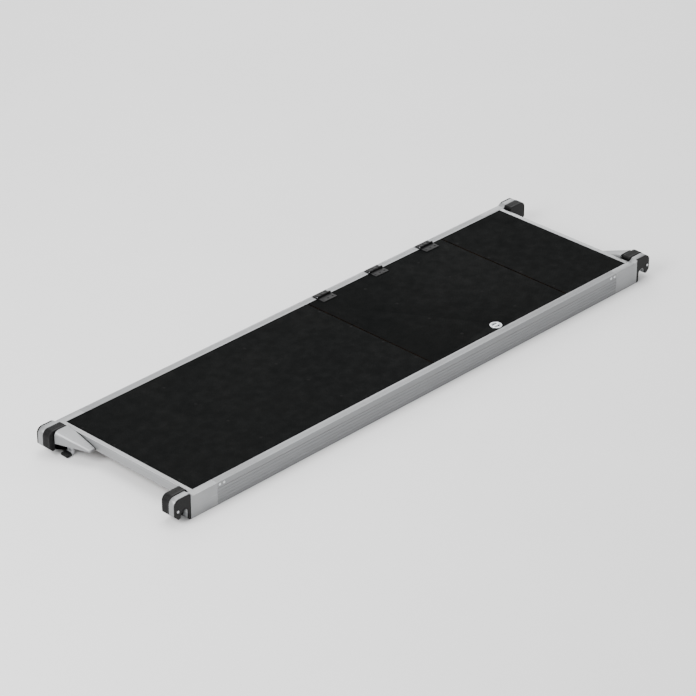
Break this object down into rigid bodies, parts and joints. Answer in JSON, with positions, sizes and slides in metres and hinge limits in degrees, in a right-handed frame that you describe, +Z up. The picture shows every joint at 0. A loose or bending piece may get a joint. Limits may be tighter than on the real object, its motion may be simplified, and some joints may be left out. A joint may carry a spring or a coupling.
{
  "type": "scaffold platform deck",
  "caption": "Scaffold plank with grooved aluminium rails, black plywood deck, a hinged hatch with a turning latch, claws that hook over rungs and sprung wind locks.",
  "frame": {"origin": "under the middle of the plank, level with the underside of the rails", "axes": "+X along the plank towards the hatch end, +Y across it towards the hatch's hinges, +Z up"},
  "size_m": [2.125, 0.6036, 0.087],
  "materials": {
    "extruded_aluminium": "mill-finish extrusion, satin",
    "cast_aluminium": "die-cast, lightly blasted",
    "film_faced_ply": "black phenolic film on birch plywood, anti-slip, satin",
    "black_plastic": "moulded, matt",
    "zinc_steel": "bright zinc plate",
    "black_painted_steel": "black powder coat",
    "spring_steel": "oiled spring wire"
  },
  "bodies": {
    "frame": {"rail_left": "extruded_aluminium", "rail_right": "extruded_aluminium", "cross_beam_1": "extruded_aluminium", "cross_beam_2": "extruded_aluminium", "hatch_trimmer_near": "extruded_aluminium", "hatch_trimmer_far": "extruded_aluminium", "end_beam_near": "extruded_aluminium", "end_beam_far": "extruded_aluminium", "claw_casting_near_left": "cast_aluminium", "claw_casting_near_right": "cast_aluminium", "claw_casting_far_left": "cast_aluminium", "claw_casting_far_right": "cast_aluminium", "wind_lock_housing_near": "cast_aluminium", "wind_lock_housing_far": "cast_aluminium", "claw_cover_outer_near_left": "black_plastic", "claw_cover_outer_near_right": "black_plastic", "claw_cover_outer_far_left": "black_plastic", "claw_cover_outer_far_right": "black_plastic", "claw_cover_inner_near_left": "black_plastic", "claw_cover_inner_near_right": "black_plastic", "claw_cover_inner_far_left": "black_plastic", "claw_cover_inner_far_right": "black_plastic", "deck_panel_near": "film_faced_ply", "deck_panel_far": "film_faced_ply", "claw_bolt_near_left": "zinc_steel", "claw_bolt_near_right": "zinc_steel", "claw_bolt_far_left": "zinc_steel", "claw_bolt_far_right": "zinc_steel", "hinge_pin_1": "zinc_steel", "hinge_pin_2": "zinc_steel", "hinge_pin_3": "zinc_steel", "wind_lock_pin_near": "zinc_steel", "wind_lock_pin_far": "zinc_steel", "wind_lock_bolt_near_1": "zinc_steel", "wind_lock_bolt_near_2": "zinc_steel", "wind_lock_bolt_far_1": "zinc_steel", "wind_lock_bolt_far_2": "zinc_steel", "hinge_leaf_frame_1": "black_painted_steel", "hinge_leaf_frame_2": "black_painted_steel", "hinge_leaf_frame_3": "black_painted_steel", "wind_lock_spring_near": "spring_steel", "wind_lock_spring_far": "spring_steel"},
    "hatch": {"hatch_lid": "film_faced_ply", "hatch_stiffener_1": "extruded_aluminium", "hatch_stiffener_2": "extruded_aluminium", "hinge_leaf_lid_1": "black_painted_steel", "hinge_leaf_lid_2": "black_painted_steel", "hinge_leaf_lid_3": "black_painted_steel", "latch_bezel": "zinc_steel"},
    "latch": {"latch_knob": "zinc_steel", "latch_cam": "zinc_steel", "latch_screw": "zinc_steel"},
    "wind_lock_near": {"wind_lock_arm_near": "zinc_steel", "wind_lock_tip_near": "black_plastic"},
    "wind_lock_far": {"wind_lock_arm_far": "zinc_steel", "wind_lock_tip_far": "black_plastic"}
  },
  "joints": [
    {"name": "hatch_hinge", "type": "hinge", "parent": "frame", "child": "hatch", "pos_m": [0.365, 0.274, 0.0795], "axis": [-1, 0, 0], "range_deg": [0, 100]},
    {"name": "latch_turn", "type": "hinge", "parent": "hatch", "child": "latch", "pos_m": [0.365, -0.25, 0.058], "axis": [0, 0, -1], "range_deg": [0, 90]},
    {"name": "wind_lock_near_pivot", "type": "hinge", "parent": "frame", "child": "wind_lock_near", "pos_m": [-1, 0.219, 0.056], "axis": [0, -1, 0], "range_deg": [0, 30], "stiffness_Nm_per_rad": 0.3, "springref_deg": -17.19},
    {"name": "wind_lock_far_pivot", "type": "hinge", "parent": "frame", "child": "wind_lock_far", "pos_m": [1, -0.219, 0.056], "axis": [0, 1, 0], "range_deg": [0, 30], "stiffness_Nm_per_rad": 0.3, "springref_deg": -17.19}
  ]
}
